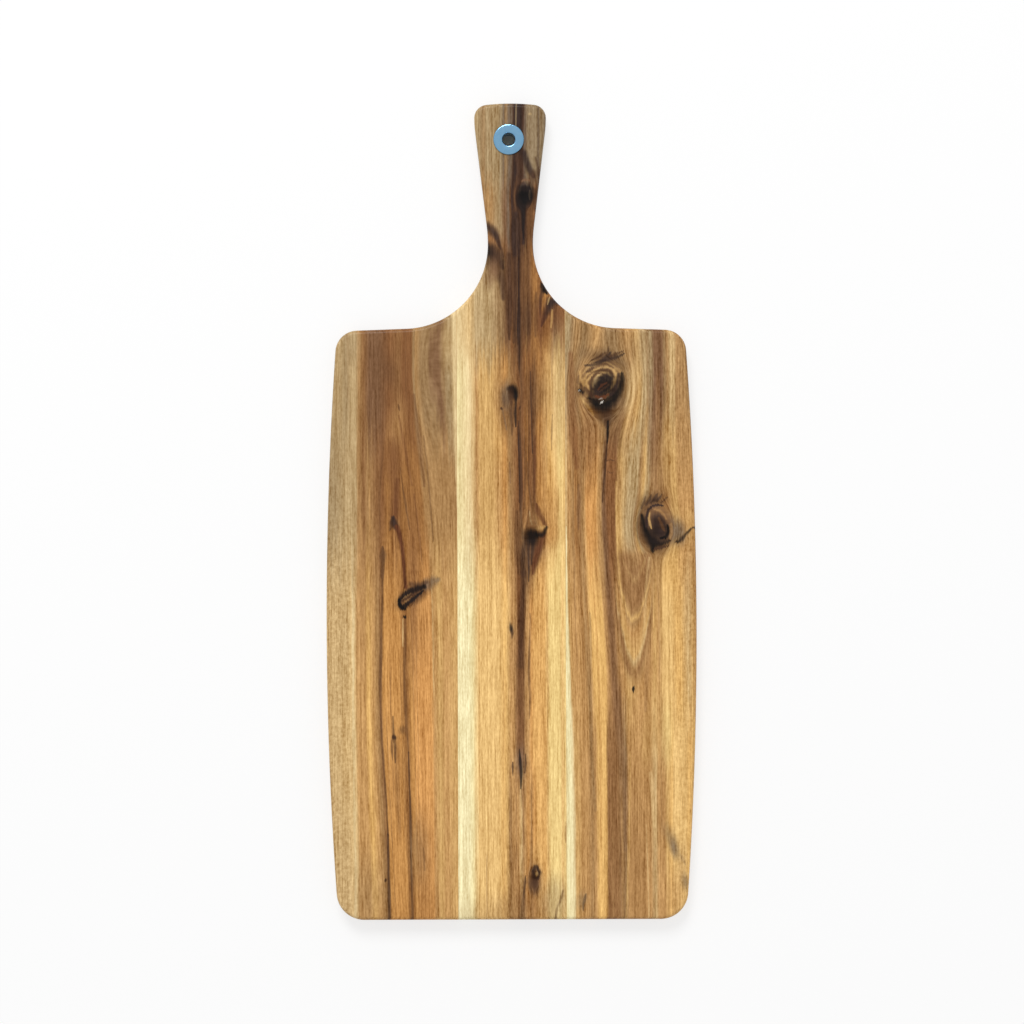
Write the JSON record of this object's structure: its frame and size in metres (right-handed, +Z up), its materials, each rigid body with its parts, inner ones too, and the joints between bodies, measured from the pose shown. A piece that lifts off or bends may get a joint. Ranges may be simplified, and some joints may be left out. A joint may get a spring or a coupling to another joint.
{
  "type": "paddle charcuterie board",
  "caption": "Edge-glued hardwood paddle serving board with bowed sides, a flared handle and a metal hanging eyelet.",
  "frame": {"origin": "middle of the board's overall length and width, on the plane of the underside", "axes": "+Z up out of the serving face, +Y along the board towards the handle's tip, +X to the right as pictured"},
  "size_m": [0.254, 0.56, 0.0162],
  "materials": {
    "stave_wood": "oiled hardwood with strong streaks and knots, satin",
    "wood_glue": "dried wood glue, dull",
    "plated_metal": "bright plate with a blue cast, polished"
  },
  "bodies": {
    "root": {"left_stave": "stave_wood", "centre_stave": "stave_wood", "right_stave": "stave_wood", "left_glue_line": "wood_glue", "right_glue_line": "wood_glue", "eyelet": "plated_metal", "eyelet_washer": "plated_metal"}
  },
  "joints": []
}
